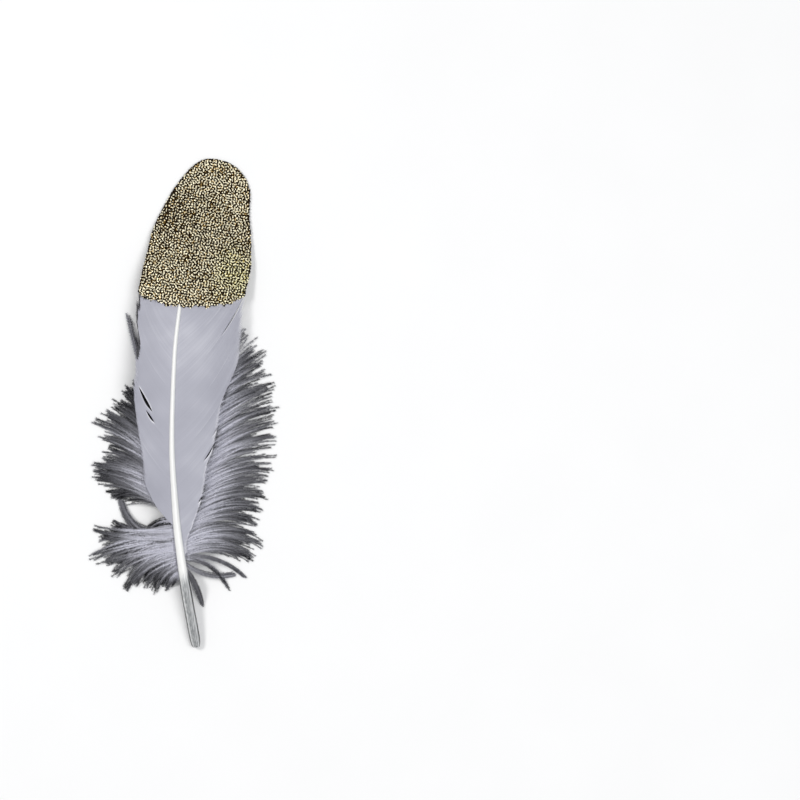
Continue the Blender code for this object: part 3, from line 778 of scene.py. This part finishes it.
def barbules(chance, side, lines, ways, tones, owner):
    """One hair for each entry of owner, which numbers the barb it grows on: its three corners and their tones."""
    spans = lines.shape[1] - 1
    t = chance.uniform(0.03, 1.0, len(owner)) ** 0.9 * spans * 0.9999
    i = t.astype(int)
    f = (t - i)[:, None]
    base = lines[owner, i] * (1 - f) + lines[owner, i + 1] * f
    hidden = below_web(base, side, 1.5 * MM)
    seen = ~hidden | (chance.random(len(owner)) < 0.2) | (under_split(base, side) > 0.3)
    owner, t, i, f, base = owner[seen], t[seen], i[seen], f[seen], base[seen]
    forward, sideways, upwards = (way[owner, i] for way in ways)
    roll = chance.normal(0, 0.5, len(owner))[:, None]
    hand = np.where(chance.random(len(owner)) < 0.5, -1, 1)[:, None]
    out = hand * sideways * np.cos(roll) + upwards * np.sin(roll)
    lean = chance.uniform(0.45, 1.0, len(owner))[:, None]
    grow = forward * np.cos(lean) + out * np.sin(lean)
    taper = 1.0 - 0.35 * t[:, None] / spans
    reach = chance.uniform(0.5, 1.1, len(owner))[:, None] * taper * BARBULE_LENGTH[side] * MM
    tip = base + grow * reach
    tip[:, 2] = np.minimum(np.maximum(tip[:, 2], 0.03 * MM), room_under_web(tip, side) + 0.1 * MM)
    half = forward * 0.05 * MM
    hairs = np.stack([base - half, base + half, tip], axis=1)
    base_tone = tones[owner, i] * (1 - f[:, 0]) + tones[owner, i + 1] * f[:, 0]
    return hairs, np.stack([base_tone - 0.02, base_tone - 0.02, base_tone - 0.12], axis=1)


def make_down(names, side, node, material):
    """One side's down: bundles of loose barbs that run together towards each lock's tip, with their barbules."""
    chance = np.random.default_rng(40 + side)
    u = np.linspace(0, 1, LINE_POINTS)
    lines, tones = lay_barbs(chance, side, u)
    ways = directions(lines)
    stalks = barb_stalks(lines, ways[1], ways[2], u)
    stalk_tones = np.repeat(tones[:, :, None], 3, axis=2) + 0.06
    lengths = np.linalg.norm(np.diff(lines, axis=1), axis=2).sum(axis=1)
    for part, name in enumerate(names):
        mine = np.arange(part, len(lines), len(names))
        count = np.maximum((lengths[mine] / MM * BARBULES_A_MM[side]).astype(int), 4)
        hairs, hair_tones = barbules(chance, side, lines, ways, tones, np.repeat(mine, count))
        own_stalks = stalks[mine].reshape(-1, 3)
        points = np.concatenate([own_stalks, hairs.reshape(-1, 3)])
        all_tones = np.concatenate([stalk_tones[mine].ravel(), hair_tones.ravel()])
        hair_faces = len(own_stalks) + np.arange(len(hairs) * 3).reshape(-1, 3)
        faces = [strips(len(mine), LINE_POINTS, 3, closed=True), hair_faces]
        make_piece(name, points, faces, material, [node], all_tones)


# Glitter -----------------------------------------------------------------------------------------------

COAT_COLUMNS, COAT_ROWS = 61, 49
COAT_HALF_THICK = 0.22 * MM
# Flakes by face, 1 above and -1 below: how far apart, and their size against FLAKE_SIZE
FLAKE_FACES = [(1, 0.26 * MM, 1), (-1, 0.45 * MM, 1.7)]
FLAKE_SIZE = (0.14, 0.2)  # least and greatest, in millimetres from middle to corner
FLAKE_TILT = 0.17
FLAKE_CORNERS = 6
# The waves that lay out the flakes' painted glints and painted dark reflections: least and greatest length in
# millimetres, how many
GLINT_WAVES = [(0.74, 0.98, 46), (0.98, 1.25, 12), (1.25, 1.9, 2)]
# Patches of painted shade, where the coat curves away at the upper left, and of painted light at the lower right,
# from the feather's centre: place, how far it spreads each way, how much lighter it is
PAINTED_SHADE_PATCH = ((-5 * MM, 66 * MM), (7 * MM, 12 * MM), -0.7)
PAINTED_LIGHT_PATCH = ((20 * MM, 42 * MM), (4 * MM, 10 * MM), 0.35)
# how much painted shade darkens the flakes near the coat's edge
PAINTED_SHADE_RIM = 1.3


def ragged(x):
    """How far the coat's lower edge stands off its even line over these places."""
    x = x / MM
    wide = 0.35 * np.sin(x * 0.9 + 1) + 0.3 * np.sin(x * 2.3 + 2.1)
    return (wide + 0.22 * np.sin(x * 5.1) + 0.12 * np.sin(x * 11.7)) * MM


def coat_surface(across, along):
    """(y, w, side) of the coat at across, -1 to 1 from edge to edge, and along, 0 to 1 from dip line to tip."""
    side = np.where(across < 0, LEFT, RIGHT)
    y, w = np.zeros(np.shape(across)), np.zeros(np.shape(across))
    for s in (LEFT, RIGHT):
        here = side == s
        width = half_width(dip_line(WEB_FULL[s], s), s)
        a = np.abs(across[here])
        start = dip_line(a * width, s)
        start = start + ragged(shaft_bend(start) + s * a * width)
        y[here] = start + (LENGTH - 0.1 * MM - start) * along[here]
        w[here] = a * half_width(y[here], s)
    return y, w, side


def coat_points(y, w, side, lift):
    """Points this far above the webs, or below them, with the ridge of the rachis on the upper face."""
    left = web_points(y, w, LEFT, lift)
    right = web_points(y, w, RIGHT, lift)
    ridge = 0.4 * MM * np.exp(-((w / (1.0 * MM)) ** 2)) * (1 - smoothstep(y, DIP_LINE, LENGTH))
    points = np.where((side == LEFT)[..., None], left, right)
    points[..., 2] += ridge * (lift > 0)
    return points


def from_edge(y, w, side):
    """About how far these places lie from the outline of the vanes."""
    step = 0.2 * MM
    left, right = ([half_width(y + away, s) for away in (-step, 0, step)] for s in (LEFT, RIGHT))
    below, here, above = (np.where(side == LEFT, a, b) for a, b in zip(left, right))
    return (here - w) / np.hypot(1, (above - below) / (2 * step))


def make_coat(chance):
    """The stiff blade of glued barbs."""
    a, b = np.meshgrid(np.linspace(-1, 1, COAT_COLUMNS), np.sin(np.linspace(0, np.pi / 2, COAT_ROWS)))
    y, w, side = coat_surface(a, b)
    lump = 0.05 * MM * chance.uniform(-1, 1, y.shape)
    edge = 1 - 0.75 * np.maximum(np.abs(a) ** 8, (b > 0.999))
    top = coat_points(y, w, side, COAT_HALF_THICK * edge + lump)
    low = coat_points(y, w, side, -COAT_HALF_THICK * edge)
    low[..., 2] = np.maximum(low[..., 2], 0.1 * MM)
    count = COAT_ROWS * COAT_COLUMNS
    sheet = strips(1, COAT_ROWS, COAT_COLUMNS)
    last_row = (COAT_ROWS - 1) * COAT_COLUMNS
    rim_index = np.concatenate([
        np.arange(COAT_COLUMNS), np.arange(1, COAT_ROWS) * COAT_COLUMNS + COAT_COLUMNS - 1,
        last_row + np.arange(COAT_COLUMNS - 2, -1, -1), np.arange(COAT_ROWS - 2, 0, -1) * COAT_COLUMNS])
    after = np.roll(rim_index, -1)
    rim = np.stack([rim_index, rim_index + count, after + count, after], axis=-1)
    make_piece("glitter_base", np.concatenate([top.reshape(-1, 3), low.reshape(-1, 3)]),
               [sheet, (sheet + count)[:, ::-1], rim], glue_material(), ["glitter_tip"])


def glint_waves(chance):
    """A direction and a phase for each wave, and its length."""
    number = sum(count for _, _, count in GLINT_WAVES)
    waves = chance.uniform(0, 2 * np.pi, (number, 2))
    return waves, np.concatenate([chance.uniform(*wave) for wave in GLINT_WAVES]) * MM


def speckle(x, y, waves, wave_length):
    """About -1.5 to 1.5: where the flakes carry painted glints and where painted dark reflections."""
    phase = 2 * np.pi * (x[..., None] * np.cos(waves[:, 0]) + y[..., None] * np.sin(waves[:, 0])) / wave_length
    return np.sin(phase + waves[:, 1]).sum(axis=-1) / np.sqrt(len(waves) / 2)


def in_patch(place, patch):
    """How much lighter a patch makes the coat at these places."""
    (x, y), (x_spread, y_spread), lighter = patch
    return lighter * np.exp(-(((place[:, 0] - x) / x_spread) ** 2) - ((place[:, 1] - y) / y_spread) ** 2)


def flake_places(chance, spacing):
    """(y, w, side) of one face's flakes, scattered evenly over the coat."""
    xs, ys = np.meshgrid(np.arange(-20, 26, spacing / MM) * MM, np.arange(DIP_LINE - 2 * MM, LENGTH, spacing))
    xs = xs.ravel() + chance.uniform(-0.45, 0.45, xs.size) * spacing
    ys = ys.ravel() + chance.uniform(-0.45, 0.45, ys.size) * spacing
    offset = xs - shaft_bend(ys)
    side = np.where(offset < 0, LEFT, RIGHT)
    w = np.abs(offset)
    width = np.where(side == LEFT, half_width(ys, LEFT), half_width(ys, RIGHT))
    start = np.where(side == LEFT, dip_line(w, LEFT), dip_line(w, RIGHT)) + ragged(xs)
    kept = (w < width + 0.05 * MM) & (ys > start - 0.1 * MM)
    return ys[kept], w[kept], side[kept]


def make_flakes(chance):
    """Six-sided flakes, tilted at random, that cover the coat on both faces and round its edge."""
    waves = glint_waves(chance)
    points, tones = [], []
    for face, spacing, larger in FLAKE_FACES:
        y, w, side = flake_places(chance, spacing)
        n = len(y)
        lift = face * (0.26 + chance.uniform(0, 0.12, n)) * MM
        middle = coat_points(y, w, side, lift)
        step = 0.3 * MM
        slope_y = coat_points(y + step, w, side, lift) - coat_points(y - step, w, side, lift)
        slope_w = coat_points(y, w + step, side, lift) - coat_points(y, np.maximum(w - step, 0), side, lift)
        normal = np.cross(slope_w, slope_y) * side[:, None]
        normal /= np.linalg.norm(normal, axis=1, keepdims=True)
        normal = normal * face + chance.normal(0, FLAKE_TILT, (n, 3))
        normal /= np.linalg.norm(normal, axis=1, keepdims=True)
        first = np.cross(normal, chance.normal(size=(n, 3)))
        first /= np.linalg.norm(first, axis=1, keepdims=True)
        second = np.cross(normal, first)
        size = chance.uniform(*FLAKE_SIZE, n)[:, None] * MM * larger
        corners = [math.pi * k / 3 for k in range(FLAKE_CORNERS)]
        ring = np.stack([middle + size * (math.cos(c) * first + math.sin(c) * second) for c in corners], axis=1)
        if face < 0:
            ring[..., 2] = np.maximum(ring[..., 2], 0.02 * MM)
        # the flakes' tone: painted glints and painted dark reflections, with a little random variety
        tone = -0.12 + 2.1 * speckle(middle[:, 0], middle[:, 1], *waves) + chance.uniform(-0.1, 0.1, n)
        # painted shade near the coat's edge, and the patches of painted shade and painted light
        rim = 1 - smoothstep(from_edge(y, w, side), 0.25 * MM, 0.75 * MM)
        tone += in_patch(middle, PAINTED_SHADE_PATCH) + in_patch(middle, PAINTED_LIGHT_PATCH) - PAINTED_SHADE_RIM * rim
        points.append(ring)
        tones.append(np.repeat(tone[:, None], FLAKE_CORNERS, axis=1))
    points, tones = np.concatenate(points), np.concatenate(tones)
    faces = np.arange(len(points) * FLAKE_CORNERS).reshape(-1, FLAKE_CORNERS)
    make_piece("glitter_flakes", points, [faces], flake_material(), (), tones, smooth=False)


def make_glitter():
    chance = np.random.default_rng(7)
    make_coat(chance)
    make_flakes(chance)


# Surroundings ------------------------------------------------------------------------------------------


def make_stage():
    s = Shader("pale_surface", Roughness=0.9)
    pale = s.ramp(s.noise(30), [(0.0, (0.93, 0.93, 0.93, 1)), (1.0, (0.96, 0.96, 0.96, 1))])
    s.put(s.main.inputs["Base Color"], pale)
    bpy.ops.mesh.primitive_plane_add(size=FLOOR_SIZE, location=(0, 0, FLOOR_LEVEL))
    floor = bpy.context.object
    floor.name = "floor"
    floor.data.materials.append(s.material)


def add_light(name, place, size, power, colour):
    """A round light that faces the feather."""
    data = bpy.data.lights.new(name, "AREA")
    data.shape = "DISK"
    data.size = size
    data.energy = power
    data.color = colour
    light = bpy.data.objects.new(name, data)
    light.location = place
    light.rotation_euler = (-Vector(place)).to_track_quat("-Z", "Y").to_euler()
    bpy.context.scene.collection.objects.link(light)


def make_lights():
    scene = bpy.context.scene
    scene.view_settings.view_transform = "Standard"
    world = bpy.data.worlds.new("soft_studio")
    world.use_nodes = True
    background = world.node_tree.nodes["Background"]
    background.inputs["Color"].default_value = (0.95, 0.97, 1.0, 1)
    background.inputs["Strength"].default_value = 0.33
    scene.world = world
    add_light("key", (-0.62, 0.25, 0.88), 0.3, 5.0, (1, 0.99, 0.975))
    add_light("fill", (0.5, -0.15, 1.15), 1.0, 8.5, (1, 1, 1))


def make_camera():
    """Straight above, as the photograph was taken."""
    camera = bpy.data.cameras.new("camera")
    camera.sensor_width = SENSOR_WIDTH
    camera.lens = SENSOR_WIDTH * CAMERA_HEIGHT / FRAME_WIDTH
    camera.clip_start = 0.1
    eye = bpy.data.objects.new("camera", camera)
    eye.location = (*CAMERA_OVER, CAMERA_HEIGHT)
    bpy.context.scene.collection.objects.link(eye)
    bpy.context.scene.camera = eye


make_shaft()
vane = vane_material()
make_vane("left_vane_barbs", LEFT, "left_vane", vane)
make_vane("right_vane_barbs", RIGHT, "right_vane", vane)
down = down_material()
make_down(["left_down_barbs_a", "left_down_barbs_b", "left_down_barbs_c"], LEFT, "left_down", down)
make_down(["right_down_barbs_a", "right_down_barbs_b", "right_down_barbs_c"], RIGHT, "right_down", down)
make_glitter()
make_stage()
make_lights()
make_camera()
